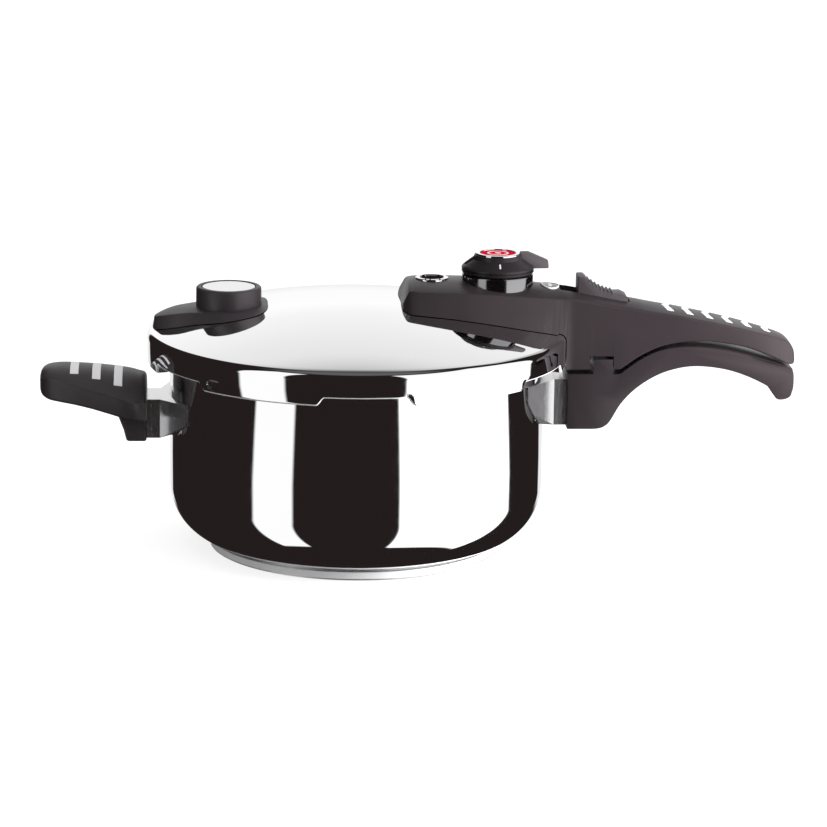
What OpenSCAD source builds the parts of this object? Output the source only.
// Stovetop pressure cooker with a bayonet lid, long twin handle and helper handle.
// Millimetres, +Z up, origin at the centre of the base underside, +X along the long handle.

/* [Pot] */
// Outer radius of the pot wall
pot_r = 111; // [109:0.5:112]
// Thickness of the pot wall
pot_wall = 1.0; // [0.8:0.1:1.2]
// Outer radius of the curve between wall and floor
pot_corner_r = 32; // [28:1:36]
// Height of the top edge of the rim
rim_top = 118; // [117.6:0.1:118]
// Radius of the capsule base
base_r = 88; // [84:1:90]
// Height of the capsule base under the pot floor
base_h = 5.6; // [5:0.1:6]

/* [Lid] */
// Outer radius of the lid skirt
lid_r = 124.2; // [124:0.1:124.4]
// Sheet thickness of the lid
lid_wall = 1.2; // [1:0.1:1.3]
// Crown radius of the lid dome
dome_r = 430; // [420:1:440]
// Height of the dome apex above the table
dome_top = 148.8; // [148.5:0.1:149]
// Lower edge of the locking lugs on the skirt
lug_low = 111.8; // [111.5:0.1:112]
// Lower edge of the skirt between the lugs
notch_low = 116.5; // [116:0.1:117]
// Number of locking lugs
lug_count = 6; // [6]
// Angle that each gap between two lid lugs takes up
notch_angle = 24; // [23.6:0.2:25]
// Angle that each rim lug of the pot takes up
rim_lug_angle = 21; // [18:0.5:22]

/* [Regulator] */
// Distance of the regulator axis from the pot axis
reg_x = 83; // [82.5:0.1:83.5]
// Radius of the collar around the regulator
collar_r = 21.15; // [21:0.05:21.3]
// Largest radius of the regulator knob
knob_r = 21.5; // [21:0.1:22]
// Distance of the pressure indicator from the pot axis
ind_x = 44; // [43.5:0.1:44.5]

/* [Safety fitting] */
// Distance of the safety valve axis from the pot axis
safe_x = -76; // [-76.5:0.1:-75.5]
// Radius of the round boss over the safety valve
boss_r = 19.4; // [19:0.1:19.6]
// Height of the top of that boss above the table
boss_top = 156.3; // [155.4:0.1:156.6]

/* [Handles] */
// Half width of the long grips
grip_w = 17.5; // [17:0.1:18]
// Wall thickness of the moulded handle shells
shell_wall = 2.6; // [2.4:0.1:2.8]

/* [Hidden] */

$fn = 96;
gap = 0.3;
fit = 0.05;
far = 400;

pot_in = pot_r - pot_wall;
corner_z = base_h + pot_corner_r;
corner_x = pot_r - pot_corner_r;
rim_flange_low = 114.2;
rim_flange_high = 116.2;
rim_flange_r = 113.5;
rim_lug_r = 121.5;
lug_pitch = 360 / lug_count;
lip_in = 116.4;
lip_top = 113.4;

// The lid shoulder is an arc tangent to both the dome and the skirt
shoulder_r = 5;
dome_cz = dome_top - dome_r;
shoulder_x = lid_r - shoulder_r;
tangent_x = shoulder_x / (1 - shoulder_r / dome_r);
shoulder_z = (dome_r - shoulder_r) * sqrt(1 - pow(tangent_x / dome_r, 2)) + dome_cz;

window_angle = -133.5;
window_z = 116.7;
window_r = 3.2;
window_len = 4;

valve_tube_r = 5.9;
valve_bore_r = 2.5;

collar_top = 164.3;
knob_low = 164.7;
knob_top = 176.6;

handle_low = 109.1;
block_x = 124.6;
block_top = 106.5;
tab_x0 = 140.7;
tab_x1 = 152;
tab_top = 115.4;
tab_w = 8;
recess_x0 = 138.6;
recess_x1 = 152.5;
recess_top = 117.5;
bolt_x = 146.3;
bolt_r = 2.2;
pocket_r = 3.6;
slide_w = 8;
stripe_deep = 0.9;
stripe_w = 4.2;
stripe_lean = 0.23;

// Strips on the lid handle: place of the middle, half length
LID_STRIPES = [[181, 10.5], [192.8, 10.3], [205, 9.6], [217, 8.6], [229, 7.2], [241, 5.6]];

steel = "#c9ccd1";
bright = "#dfe2e6";
black = "#3b3638";
satin = "#4a4447";
grey = "#b9bcbd";

// Outline of the lid handle: x, top, crown drop, half width at crease, half width at dome, underside.
// An underside of 0 follows the dome.
LID_STATIONS = [
    [24, 148.8, 0.4, 16, 21, 0],
    [25.2, 150.6, 0.6, 22.6, 30.4, 0],
    [27.2, 155.6, 1.6, 22.4, 34.4, 0],
    [29.6, 160, 2.6, 22.6, 36.6, 0],
    [32.6, 161.1, 3.4, 23.8, 37.5, 0],
    [37, 161.4, 4, 25.2, 37.8, 0],
    [45, 161.4, 4.2, 26.5, 37.9, 0],
    [55, 161.2, 4.2, 26.8, 37.6, 0],
    [66, 160.9, 4.2, 26.4, 37.5, 0],
    [80, 160.2, 4.4, 24.9, 36.4, 0],
    [97, 159, 4.8, 22.4, 33.6, 0],
    [113, 157.3, 4.6, 19.6, 27.6, 0],
    [118, 156.7, 4.4, 18.8, 25, handle_low],
    [124, 156, 4, 18.2, 18.8, handle_low],
    [132, 154.6, 3.8, 17.8, 18, handle_low],
    [146, 151.8, 3.6, 17.6, 17.6, handle_low],
    [154.6, 150.2, 3.4, grip_w, grip_w, handle_low],
    [160, 149.2, 3.2, grip_w, grip_w, 112.1],
    [166, 148.1, 2.9, grip_w, grip_w, 116.5],
    [177, 145.9, 2.6, 17.4, grip_w, 122.2],
    [189, 143.8, 2.3, 17.2, grip_w, 125.3],
    [201.5, 141.1, 2, 16.9, grip_w, 126.3],
    [212, 138.7, 1.6, 16.4, grip_w, 125.8],
    [230, 134.3, 1.4, 15.2, 17.3, 122.7],
    [243, 130.7, 1.4, 14, 16.8, 117.8],
    [252, 127.9, 1.3, 12, 15.6, 113.8],
    [257, 125.3, 1.1, 10.6, 13.8, 111.5],
    [260.4, 121.2, 0.8, 8.9, 11.2, 111.2],
    [262, 117, 0.6, 7.4, 9.2, 112.2]
];

// Side outline of the pot handle
POT_HANDLE_SIDE = [
    [block_x, 73.2], [141.3, 73.2], [145.4, 74], [148.4, 76], [150.4, 78.6], [156.3, 88.6],
    [160.4, 93.8], [165.3, 98.1], [171, 102.4], [177.4, 105.9], [189.7, 110.1], [202, 111.4],
    [217.5, 109.6], [231, 105.4], [243.6, 99.6], [247, 95.8], [249.6, 92], [252.6, 91],
    [256.4, 92.4], [259, 95.6], [260, 100.4], [259.4, 105.3], [257.4, 108.4], [243.1, 114.3],
    [222.3, 120.1], [204.7, 122.7], [189.3, 122.7], [177, 120.1], [165.9, 114.3], [155.3, block_top],
    [tab_x1, block_top], [tab_x1, tab_top], [tab_x0, tab_top], [tab_x0, block_top],
    [block_x, block_top]
];

// Side outline of the helper handle
HELPER_SIDE = [
    [-124.6, 65.4], [-124.6, 100.6], [-129.4, 104.7], [-138, 106.6], [-156, 108.7], [-175, 109.4],
    [-181.4, 108.8], [-185.4, 107.4], [-187.6, 105.4], [-188.6, 102.6], [-188.4, 95], [-186, 92.2],
    [-181.4, 90.6], [-166, 88.6], [-152, 85.4], [-141.6, 81.6], [-138.1, 71.7], [-135.6, 66.4],
    [-133.6, 65.4]
];

// Height of the dome surface above a point in plan
function dome_z(x, y) = dome_cz + sqrt(dome_r * dome_r - x * x - y * y);

// Value of column c of the station table at x, by straight interpolation
function station(x, c, i = 0) =
    i >= len(LID_STATIONS) - 2 || x <= LID_STATIONS[i + 1][0]
    ? LID_STATIONS[i][c] + (LID_STATIONS[i + 1][c] - LID_STATIONS[i][c])
        * (x - LID_STATIONS[i][0]) / (LID_STATIONS[i + 1][0] - LID_STATIONS[i][0])
    : station(x, c, i + 1);

CROWN_STEPS = 8;

// Cross-section of the lid handle: sloping sides under a crowned top, inset by t on every side
function handle_ring(s, t) =
    let(
        crease_z = s[1] - s[2] - t,
        crease_w = s[3] - t,
        foot_z = s[5] > 0 ? s[5] : dome_z(s[0], s[4]),
        low_z = s[5] > 0 ? s[5] : foot_z - 3,
        spread = (s[4] - s[3]) / max(1, s[1] - s[2] - foot_z),
        low_w = crease_w + spread * (crease_z - low_z)
    )
    concat(
        [[s[0], -low_w, low_z]],
        [for (i = [0:CROWN_STEPS])
            let(k = 2 * i / CROWN_STEPS - 1)
            [s[0], k * crease_w, crease_z + s[2] * (1 - k * k)]],
        [[s[0], low_w, low_z]]
    );

// Solid skin through a list of rings that all have the same number of points
module skin(rings) {
    n = len(rings[0]);
    last = len(rings) - 1;
    points = [for (r = rings) each r];
    sides = [for (i = [0:last - 1]) for (j = [0:n - 1])
        [i * n + j, i * n + (j + 1) % n, (i + 1) * n + (j + 1) % n, (i + 1) * n + j]];
    start = [for (j = [n - 1:-1:0]) j];
    finish = [for (j = [0:n - 1]) last * n + j];
    polyhedron(points, concat([start], sides, [finish]));
}

// Round wire wound into a compression spring that stands along +Z
module coil(r, wire_r, length, turns) {
    steps = 12;
    sides = 6;
    skin([for (i = [0:turns * steps])
        let(a = i * 360 / steps, z = wire_r + (length - 2 * wire_r) * i / (turns * steps))
        [for (j = [0:sides - 1])
            let(b = -j * 360 / sides, q = r + wire_r * cos(b))
            [q * cos(a), q * sin(a), z + wire_r * sin(b)]]]);
}

// Extrudes a side outline, drawn as x and z, by w to both sides of the middle plane
module side_extrude(w) {
    rotate([90, 0, 0]) linear_extrude(2 * w, center = true) children();
}

module tube(r_out, r_in, z0, z1) {
    translate([0, 0, z0]) difference() {
        cylinder(r = r_out, h = z1 - z0);
        translate([0, 0, -1]) cylinder(r = r_in, h = z1 - z0 + 2);
    }
}

module disc(r, z0, z1) {
    translate([0, 0, z0]) cylinder(r = r, h = z1 - z0);
}

// Everything under a dome of radius r about the centre of the lid crown
module under_dome(r) {
    translate([0, 0, dome_cz]) sphere(r = r, $fn = 360);
}

// Pot bowl outline with the wall inset by t
module bowl_2d(t) {
    translate([0, corner_z]) square([pot_r - t, rim_top + 10 - corner_z]);
    translate([0, base_h + t]) square([corner_x, corner_z - base_h]);
    translate([corner_x, corner_z]) circle(r = pot_corner_r - t);
}

module pot_body() {
    rim_gap = lug_pitch - rim_lug_angle;
    color(steel) difference() {
        rotate_extrude() difference() {
            union() {
                bowl_2d(0);
                translate([0, rim_flange_low]) square([rim_lug_r, rim_flange_high - rim_flange_low]);
            }
            bowl_2d(pot_wall);
            translate([0, rim_top]) square(far);
            translate([-far, -1]) square([far, far]);
        }
        for (i = [0:lug_count - 1])
            rotate([0, 0, (i + 0.5) * lug_pitch - rim_gap / 2])
                rotate_extrude(angle = rim_gap)
                    translate([rim_flange_r, rim_flange_low - 1]) square([12, 4]);
    }
}

capsule_wall = 0.8;

module base_core() {
    color("#b7babd") rotate_extrude() difference() {
        translate([0, capsule_wall]) square([base_r - capsule_wall, base_h + 2]);
        bowl_2d(0);
        translate([base_r - 2, capsule_wall + 4.4]) square(9);
    }
}

module base_capsule() {
    color(bright) rotate_extrude() difference() {
        union() {
            square([base_r - 2, capsule_wall]);
            intersection() {
                translate([base_r - 2, 2]) circle(r = 2);
                translate([base_r - 2, 0]) square(2);
            }
            translate([base_r - 2, 2]) square([2, 3.4]);
        }
        translate([0, capsule_wall]) square([base_r - capsule_wall, 9]);
    }
}

// Curved weld plate on the pot wall, centred on +X, between two heights
module weld_plate(z0, z1, half_angle) {
    rotate([0, 0, -half_angle]) rotate_extrude(angle = 2 * half_angle)
        translate([pot_r, z0]) square([1.2, z1 - z0]);
}

guard_w = 15;
tongue_w = 6;

// Tongue that carries a handle: plate on the wall, web outwards and a threaded hole for the screw
module bracket(z0, z1, reach, screw_x, half_angle) {
    difference() {
        union() {
            weld_plate(z0, z1, half_angle);
            intersection() {
                translate([pot_r - 5, -tongue_w, z0 + 5])
                    cube([reach - pot_r + 5, 2 * tongue_w, z1 - z0 - 10]);
                difference() {
                    cube([far, far, far], center = true);
                    disc(pot_r, -far, far);
                }
            }
        }
        translate([screw_x, 0, 0]) disc(2, z0 - 10, z1 - 9);
    }
}

// Where the flared foot of a sleeve meets the pot wall, as angle from the handle and height
POT_FOOT = [[29.5, 107], [29, 97], [24.3, 88.5], [17.4, 80.3], [8, 75.8]];
HELPER_FOOT = [[26, 95], [26, 83], [15, 74.5], [7, 69.5]];

// Straight-sided flare from the box of a sleeve to its foot line, drawn in by t
module flare(foot, z0, z1, t) {
    middle_z = (z0 + z1) / 2;
    hull() {
        translate([block_x - 8, t - guard_w, z0 + t]) cube([0.1, 2 * (guard_w - t), z1 - z0 - 2 * t]);
        for (p = foot, s = [-1, 1])
            rotate([0, 0, s * (p[0] - t)]) translate([pot_r - 1, 0, p[1] - sign(p[1] - middle_z) * t])
                cube([1.9 - t, 0.1, 0.1]);
    }
}

// Bright sleeve between the pot wall and the handle: a box with a flared foot on the wall
module flame_guard(z0, z1, reach, foot) {
    sheet = 1.1;
    difference() {
        union() {
            translate([reach - 8, -guard_w, z0]) cube([8, 2 * guard_w, z1 - z0]);
            flare(foot, z0, z1, 0);
        }
        translate([reach - 9, sheet - guard_w, z0 + sheet])
            cube([20, 2 * (guard_w - sheet), z1 - z0 - 2 * sheet]);
        flare(foot, z0, z1, sheet);
        disc(pot_r + fit, -1, far);
    }
}

pot_screw_x = 136;

module pot_bracket() {
    color(steel) bracket(79, 101, 144, pot_screw_x, 8.5);
}

module pot_flame_guard() {
    color(bright) flame_guard(75.3, 103, block_x, POT_FOOT);
}

module screw(head_r, head_z0, head_z1, shank_r, shank_z1) {
    disc(head_r, head_z0, head_z1);
    disc(shank_r, head_z1, shank_z1);
}

module pot_handle() {
    color(black) difference() {
        intersection() {
            side_extrude(grip_w) polygon(POT_HANDLE_SIDE);
            translate([0, 0, 60]) linear_extrude(80)
                polygon([[block_x - 1, -grip_w], [230, -grip_w], [250, -15.8], [258, -12],
                         [260.2, -7], [260.2, 7], [258, 12], [250, 15.8], [230, grip_w],
                         [block_x - 1, grip_w]]);
        }
        for (s = [-1, 1]) translate([tab_x0 - 1, s * (tab_w + 10) - 10, block_top]) cube([14, 20, 20]);
        translate([bolt_x, 0, 0]) disc(pocket_r, tab_top - 6.6, tab_top + 5);
        translate([0, -tongue_w, 82]) cube([144, 2 * tongue_w, 14]);
        translate([pot_screw_x, 0, 0]) disc(2, 70, 90);
        translate([pot_screw_x, 0, 0]) disc(4, 70, 76);
    }
}

module pot_handle_screw() {
    color(steel) translate([pot_screw_x, 0, 0]) difference() {
        screw(3.9, 73.4, 76, 1.95, 90.5);
        translate([-3, -0.5, 72]) cube([6, 1, 2.2]);
    }
}

helper_screw_x = 131;

module helper_bracket() {
    color(steel) rotate([0, 0, 180]) bracket(71.5, 90, 140, helper_screw_x, 6);
}

module helper_flame_guard() {
    color(bright) rotate([0, 0, 180]) flame_guard(67.7, 91, block_x, HELPER_FOOT);
}

helper_crown_r = 46;
helper_crown_z = 62.5;

// Crowned envelope over the helper handle, sloping down towards the pot by a few degrees
module helper_crown(t) {
    translate([-188.6, 0, helper_crown_z + 1.6])
        rotate([0, 92.4, 0])
            cylinder(r = helper_crown_r - t, h = 70);
}

module helper_plan() {
    polygon([[-124.6, -31], [-130, -31.4], [-150, -28.4], [-168, -24.4], [-180, -19.6],
             [-186, -13.6], [-188.6, -6], [-188.6, 6], [-186, 13.6], [-180, 19.6],
             [-168, 24.4], [-150, 28.4], [-130, 31.4], [-124.6, 31]]);
}

module helper_handle() {
    color(black) difference() {
        intersection() {
            side_extrude(40) polygon(HELPER_SIDE);
            translate([0, 0, 50]) linear_extrude(70) helper_plan();
            union() {
                helper_crown(0);
                translate([-142, -20, 50]) cube([20, 40, 40]);
            }
        }
        helper_stripe_cut(0);
        translate([-140, -tongue_w, 74]) cube([20, 2 * tongue_w, 11]);
        translate([-helper_screw_x, 0, 0]) disc(2, 60, 82);
        translate([-helper_screw_x, 0, 0]) disc(4, 60, 68);
        for (s = [-1, 1]) translate([-142, s * 28.2, 60]) cube([20, 16, 26], center = true);
    }
}

HELPER_STRIPES = [[-169.4, 15], [-156.6, 18], [-143.6, 21]];

// Pockets, or the strips that fill them, across the crown of the helper handle
module helper_stripe_cut(t) {
    difference() {
        for (s = HELPER_STRIPES)
            translate([s[0], -s[1], 80]) cube([5, 2 * s[1], 40]);
        intersection() {
            helper_crown(stripe_deep);
            side_extrude(50) polygon([for (p = HELPER_SIDE) [p[0], p[1] - stripe_deep]]);
        }
    }
}

module helper_handle_stripes() {
    color(grey) intersection() {
        helper_stripe_cut(0);
        helper_crown(0);
        side_extrude(50) polygon(HELPER_SIDE);
    }
}

module helper_handle_screw() {
    color(steel) translate([-helper_screw_x, 0, 0]) difference() {
        screw(3.9, 65.6, 68, 1.95, 81);
        translate([-3, -0.5, 64]) cube([6, 1, 2.4]);
    }
}

// Solid that the lid sheet encloses, grown by t
module lid_solid_2d(t) {
    intersection() {
        translate([0, dome_cz]) circle(r = dome_r + t, $fn = 720);
        square([tangent_x + t * tangent_x / dome_r, dome_top + 10]);
    }
    translate([shoulder_x, shoulder_z]) circle(r = shoulder_r + t);
    translate([0, 60]) square([lid_r + t, shoulder_z - 60]);
}

module lid_shell() {
    color(bright) difference() {
        rotate_extrude() difference() {
            lid_solid_2d(0);
            difference() {
                lid_solid_2d(-lid_wall);
                translate([lip_in, 0]) square([20, lip_top]);
            }
            square([lip_in, lip_top]);
            square([far, lug_low]);
        }
        for (i = [0:lug_count - 1])
            rotate([0, 0, (i + 0.5) * lug_pitch - notch_angle / 2])
                rotate_extrude(angle = notch_angle)
                    translate([lip_in - 2, lug_low - 2]) square([12, notch_low - lug_low + 2]);
        rotate([0, 0, window_angle]) translate([lid_r - 4, 0, window_z]) rotate([0, 90, 0]) {
            for (s = [-1, 1]) translate([0, s * window_len / 2, 0]) cylinder(r = window_r, h = 8);
            translate([-window_r, -window_len / 2, 0]) cube([2 * window_r, window_len, 8]);
        }
        translate([reg_x, 0, 0]) disc(valve_tube_r + fit, 100, 200);
        translate([ind_x, 0, 0]) disc(4, 100, 200);
        translate([safe_x, 0, 0]) disc(7, 100, 200);
        for (x = LID_SCREWS) translate([x, 0, 0]) disc(lid_screw_r + 2 * fit, 100, 200);
    }
}

LID_SCREWS = [60, 108];
lid_screw_r = 2.5;

module lid_gasket() {
    color("#8f9395") rotate_extrude() difference() {
        translate([108.5, 118.5]) square([14.2, 8.8]);
        translate([107, 121.4]) square([11, 3.2]);
    }
}

module handle_outer(t, i0, i1) {
    skin([for (i = [i0:i1]) handle_ring(LID_STATIONS[i], t)]);
}

// Hollow inside the front of the handle, between two stations and above the dome,
// with a post left standing around each lid screw and a rib behind the slider spring
module handle_front_hollow() {
    difference() {
        intersection() {
            handle_outer(shell_wall, 3, 13);
            translate([31, -40, 100]) cube([86, 80, 100]);
        }
        translate([spring_x0 - 2.2, -7, 100]) cube([2, 14, 80]);
        for (x = LID_SCREWS) translate([x, 0, 0])
            disc(lid_screw_r + 2.2, 100, x < spring_x0 - 10 ? 170 : spring_z - 3.3);
    }
    for (x = LID_SCREWS) translate([x, 0, 0]) disc(lid_screw_r + fit, 100, dome_z(x, 0) + 7.2);
}

slot_x0 = 119.6;
slot_x1 = 161.4;

// The slider spring stands between a rib in the front of the handle and the slider
spring_x0 = 106.8;
spring_x1 = 128.7;
spring_z = 146.5;

module slider_channel() {
    translate([115, 0, spring_z]) rotate([0, 90, 0]) cylinder(r = 3.4, h = 4);
    side_extrude(slide_w + 2.6)
        polygon([[117.4, 138], [172.6, 134], [172.6, 143.2], [117.4, 153.6]]);
    translate([slot_x0, -slide_w - gap, 140]) cube([slot_x1 - slot_x0, 2 * (slide_w + gap), 40]);
}

cover_t = 2.4;
cover_x0 = 172;
cover_x1 = 246;

// Band along the underside of the grip, between heights a and b above its lower edge
module underside_band(a, b) {
    xs = [cover_x0, 177, 189, 201.5, 212, 230, cover_x1 - 3, cover_x1];
    polygon(concat(
        [for (x = xs) [x, station(x, 5) + a]],
        [for (i = [len(xs) - 1:-1:0]) [xs[i], station(xs[i], 5) + b]]
    ));
}

COVER_SCREWS = [180, 238];
cover_screw_r = 1.5;

// Hollow over the underside cover, with a post left standing around each cover screw
module grip_hollow() {
    difference() {
        intersection() {
            handle_outer(shell_wall, 18, 25);
            translate([cover_x0 + 2, -40, 100]) cube([cover_x1 - cover_x0 - 4, 80, 100]);
            side_extrude(12) underside_band(cover_t, 30);
        }
        for (x = COVER_SCREWS) translate([x, 0, 0]) disc(3.4, 100, 150);
    }
    side_extrude(14) underside_band(-2, cover_t);
    for (x = COVER_SCREWS) translate([x, 0, 0]) disc(cover_screw_r + fit, 110, station(x, 5) + 7.2);
}

module stripe_prisms() {
    for (s = LID_STRIPES) translate([s[0], 0, 110]) linear_extrude(60)
        let(lean = stripe_lean * s[1])
        polygon([[0, 0], [lean, -s[1]], [lean + stripe_w, -s[1]],
                 [stripe_w, 0], [lean + stripe_w, s[1]], [lean, s[1]]]);
}

module handle_stripes_solid() {
    difference() {
        intersection() {
            handle_outer(0, 18, 26);
            stripe_prisms();
        }
        handle_outer(stripe_deep, 17, 27);
    }
}

badge_x = 113.6;

module lid_handle() {
    color(black) difference() {
        handle_outer(0, 0, len(LID_STATIONS) - 1);
        rotate_extrude() lid_solid_2d(0.12);
        handle_front_hollow();
        slider_channel();
        grip_hollow();
        handle_stripes_solid();
        translate([recess_x0, -30, 100]) cube([recess_x1 - recess_x0, 60, recess_top - 100]);
        translate([bolt_x, 0, 0]) disc(bolt_r + fit, recess_top - 1, 140);
        translate([130, 0, 113.3]) rotate([0, 90, 0]) cylinder(r = 1.4 + fit, h = 12);
        translate([reg_x, 0, 0]) disc(collar_r + fit, 140, 200);
        translate([ind_x, 0, 0]) disc(10, 158.6, 200);
        translate([ind_x, 0, 0]) disc(6.4, 140, 200);
    }
}

module lid_handle_cover() {
    color(satin) difference() {
        side_extrude(13.9) underside_band(0, cover_t - 0.1);
        for (x = COVER_SCREWS) translate([x, 0, 0]) disc(cover_screw_r + fit, 100, 150);
    }
}

module cover_screws() {
    color(steel) for (x = COVER_SCREWS)
        translate([x, 0, station(x, 5)]) disc(cover_screw_r, 0.4, 7);
}

module lid_handle_screws() {
    color(steel) for (x = LID_SCREWS) translate([x, 0, 0]) difference() {
        union() {
            disc(lid_screw_r, dome_z(x, 0) - 6, dome_z(x, 0) + 7);
            intersection() {
                disc(5, dome_z(x, 0) - 7, dome_z(x, 0));
                translate([-x, 0, 0]) under_dome(dome_r - lid_wall - 0.05);
            }
        }
        translate([-4, -0.6, dome_z(x, 0) - 8]) cube([8, 1.2, 2.2]);
    }
}

module lid_handle_stripes() {
    color(grey) handle_stripes_solid();
}

module handle_badge() {
    color(grey) intersection() {
        translate([badge_x, 0, 140]) scale([1, 1.5, 1]) cylinder(r = 5.2, h = 40);
        difference() {
            handle_outer(-0.5, 9, 12);
            handle_outer(-0.05, 9, 12);
        }
    }
}

module regulator_collar() {
    color("#201d1f") translate([reg_x, 0, 0]) tube(collar_r, 19, 153, collar_top);
}

module valve_body() {
    color("#c8b98a") translate([reg_x, 0, 0]) difference() {
        union() {
            disc(valve_tube_r, 130, 160);
            intersection() {
                disc(9, 134.6, 145);
                translate([-reg_x, 0, 0]) under_dome(dome_r - lid_wall - 0.05);
            }
        }
        disc(valve_bore_r, 120, 170);
    }
}

module valve_nut() {
    color(steel) translate([reg_x, 0, 0]) difference() {
        disc(10, 136, 146.4);
        disc(valve_tube_r + fit, 130, 150);
        translate([-reg_x, 0, 0]) under_dome(dome_r + 0.05);
    }
}

module valve_guard() {
    color(steel) translate([reg_x, 0, 0]) difference() {
        disc(8.6, 124.5, 134.5);
        disc(7.8, 125.5, 140);
        for (a = [0:60:300])
            rotate([0, 0, a]) translate([0, 0, 130]) rotate([0, 90, 0]) cylinder(r = 1.5, h = 20);
    }
    color(steel) translate([reg_x, 0, 0]) difference() {
        disc(7.8, 133.2, 134.5);
        disc(valve_tube_r + fit, 130, 140);
    }
}

module regulator_knob() {
    color(satin) translate([reg_x, 0, 0]) difference() {
        union() {
            rotate_extrude() difference() {
                polygon([[0, knob_low], [20.9, knob_low], [knob_r, knob_low + 0.7], [knob_r, 168.7],
                         [14, 174], [14, 175.6], [0, 175.6]]);
                polygon([[8, 0], [18.6, 0], [18.6, 167.6], [12.4, 171.9], [8, 171.9]]);
            }
            tube(8, valve_tube_r + fit, 152, knob_low + 1);
            translate([-20.6, -1.4, 166]) intersection() {
                cube([10, 2.8, 9]);
                side_extrude(5) polygon([[0, 0], [10, 0], [10, 8.6], [6, 8], [0, 4.4]]);
            }
        }
        disc(valve_tube_r + fit, 140, 170.4);
        disc(13.15, 174.4, 190);
    }
}

module knob_trim_ring() {
    color(bright) translate([reg_x, 0, 0]) tube(13.05, 11.3, 174.4, knob_top);
}

module knob_disc() {
    color("#b3122a") translate([reg_x, 0, 0]) disc(11.2, 174.5, 176.2);
}

module knob_pointer() {
    color("#5b5557") translate([reg_x, 0, 0]) difference() {
        side_extrude(1.7) polygon([[10, 167.6], [20, 167.2], [30.4, 167.3], [30.3, 172], [18.2, 177.4],
                                   [13.6, 177.4], [13.2, 176.8], [10, 172]]);
        rotate_extrude() polygon([[0, 160], [knob_r + fit, 160], [knob_r + fit, 168.75],
                                  [14 + fit, 174.05], [14 + fit, 180], [0, 180]]);
    }
}

module regulator_needle() {
    color(steel) translate([reg_x, 0, 0]) {
        disc(2.3, 156, 160.4);
        disc(4.4, 160.4, 162);
        disc(1.6, 162, 167.4);
    }
}

module regulator_spring() {
    color(steel) translate([reg_x, 0, 162.2]) coil(3.2, 0.5, 8, 5);
}

module indicator_ring() {
    color(bright) translate([ind_x, 0, 0]) tube(9.9, 6.5, 158.7, 162);
}

module indicator_seal() {
    color("#8f9395") translate([ind_x, 0, 0]) difference() {
        union() {
            disc(3.9, 143, 149);
            difference() {
                disc(6.2, 144, 149);
                translate([-ind_x, 0, 0]) under_dome(dome_r + 0.05);
            }
        }
        disc(2.05, 130, 160);
    }
}

module indicator_pin() {
    color("#2a2729") translate([ind_x, 0, 0]) {
        disc(2, 135, 153);
        disc(3.6, 134, 136);
        disc(5.4, 152, 157);
        intersection() {
            translate([0, 0, 151.6]) sphere(r = 7.7);
            disc(5.4, 156.9, 160);
        }
    }
}

SLIDER_SIDE = [
    [130.4, 150], [130.4, 163.3], [134, 163.3], [137, 160.2], [141, 157.2], [145, 154.9],
    [149, 153.6], [156.4, 152.9], [159.6, 151], [160.6, 148.4], [160.6, 142.4]
];

module lock_slider() {
    color(satin) difference() {
        union() {
            side_extrude(slide_w) polygon(SLIDER_SIDE);
            side_extrude(slide_w + 2.2)
                polygon([[129, 145.2], [171, 139.2], [171, 142.8], [129, 150.6]]);
        }
        for (i = [0:4]) translate([139.4 + 3.4 * i, -20, 158.9 - 1.35 * i])
            rotate([-90, 0, 0]) cylinder(r = 0.9, h = 40);
    }
}

module lock_bolt() {
    color(steel) translate([bolt_x, 0, 0]) disc(bolt_r, recess_top + 0.3, 141);
}

module lock_spring() {
    color(steel) translate([spring_x0, 0, spring_z]) rotate([0, 90, 0])
        coil(2.6, 0.45, spring_x1 - spring_x0, 9);
}

module interlock_pin() {
    color(steel) translate([0, 0, 113.3]) rotate([0, 90, 0]) {
        translate([0, 0, 132.4]) cylinder(r = 1.4, h = 7.2);
        intersection() {
            translate([0, 0, 139.6 - 1.2]) sphere(r = 1.8);
            translate([0, 0, 139.5]) cylinder(r = 1.4, h = 5);
        }
    }
}

module safety_plan() {
    polygon([[-121, -6], [-120.4, -10], [-117, -14.4], [-110, -19], [-97, -26], [-85, -30.4],
             [-75, -31.8], [-62, -31.2], [-56, -29], [-52.8, -24.6], [-51.6, -18],
             [-51.6, 18], [-52.8, 24.6], [-56, 29], [-62, 31.2], [-75, 31.8], [-85, 30.4],
             [-97, 26], [-110, 19], [-117, 14.4], [-120.4, 10], [-121, 6]]);
}

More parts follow.
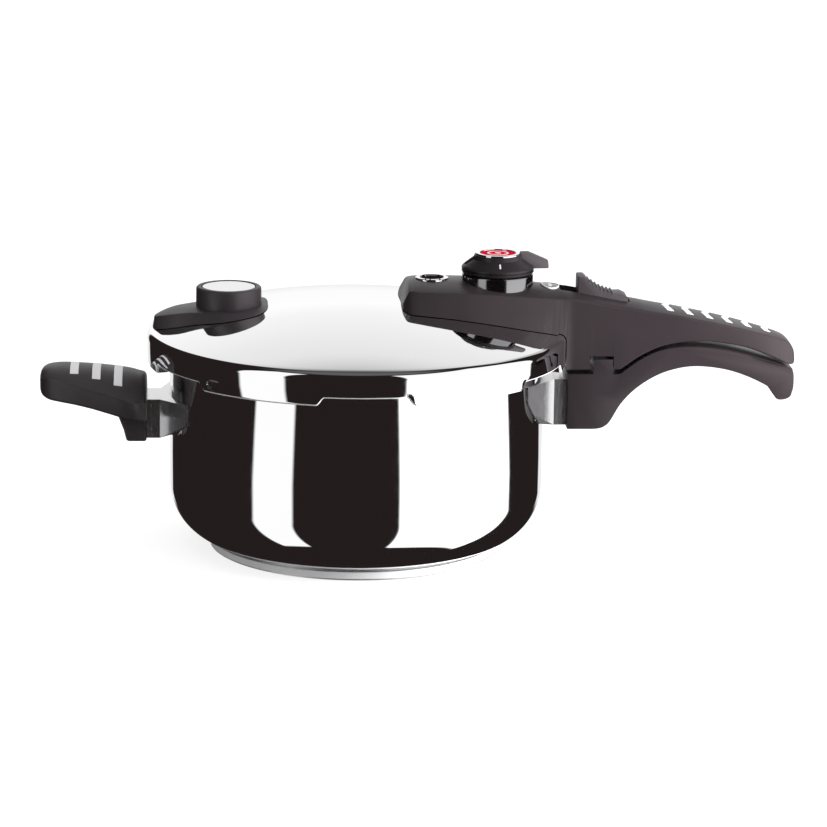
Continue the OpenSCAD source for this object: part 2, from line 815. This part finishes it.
module safety_cover() {
    color(black) difference() {
        union() {
            intersection() {
                translate([0, 0, 120]) linear_extrude(40) safety_plan();
                side_extrude(40) polygon([[-121, 120], [-120.6, 137], [-118.6, 139.8], [-112, 141.9],
                                          [-105.5, 143.2], [-96, 144.4], [-84, 145.3], [-54.4, 146.6],
                                          [-52.4, 146], [-51.6, 120]]);
            }
            translate([safe_x, 0, 0]) disc(boss_r, 130, boss_top);
        }
        rotate_extrude() lid_solid_2d(0.12);
        translate([safe_x, 0, 0]) disc(15.5, boss_top - 1.2, 170);
        translate([safe_x, 0, 0]) disc(16.4, 130, boss_top - 3);
    }
}

module safety_disc() {
    color(bright) translate([safe_x, 0, 0]) disc(15.2, boss_top - 1.2, boss_top - 0.1);
}

module safety_valve_body() {
    color("#c8b98a") translate([safe_x, 0, 0]) difference() {
        union() {
            disc(6.9, 134, 149.6);
            intersection() {
                disc(10, 135.6, 150);
                translate([-safe_x, 0, 0]) under_dome(dome_r - lid_wall - 0.05);
            }
        }
        disc(3, 130, 160);
        disc(4.6, 139, 160);
    }
}

module safety_valve_nut() {
    color(steel) translate([safe_x, 0, 0]) difference() {
        disc(10.6, 136, 147.4);
        disc(6.95, 130, 150);
        translate([-safe_x, 0, 0]) under_dome(dome_r + 0.05);
    }
}

module safety_poppet() {
    color("#b3122a") translate([safe_x, 0, 0]) {
        disc(2.6, 133, 139.4);
        disc(4.5, 139.4, 142);
    }
}

module safety_spring() {
    color(steel) translate([safe_x, 0, 142.2]) coil(3.4, 0.5, 9.8, 5);
}

pot_body();
base_core();
base_capsule();
pot_bracket();
pot_flame_guard();
pot_handle();
pot_handle_screw();
helper_bracket();
helper_flame_guard();
helper_handle();
helper_handle_stripes();
helper_handle_screw();
lid_shell();
lid_gasket();
lid_handle();
lid_handle_cover();
lid_handle_stripes();
lid_handle_screws();
cover_screws();
handle_badge();
regulator_collar();
valve_body();
valve_nut();
valve_guard();
regulator_knob();
knob_trim_ring();
knob_disc();
knob_pointer();
regulator_needle();
regulator_spring();
indicator_ring();
indicator_seal();
indicator_pin();
lock_slider();
lock_bolt();
lock_spring();
interlock_pin();
safety_cover();
safety_disc();
safety_valve_body();
safety_valve_nut();
safety_poppet();
safety_spring();
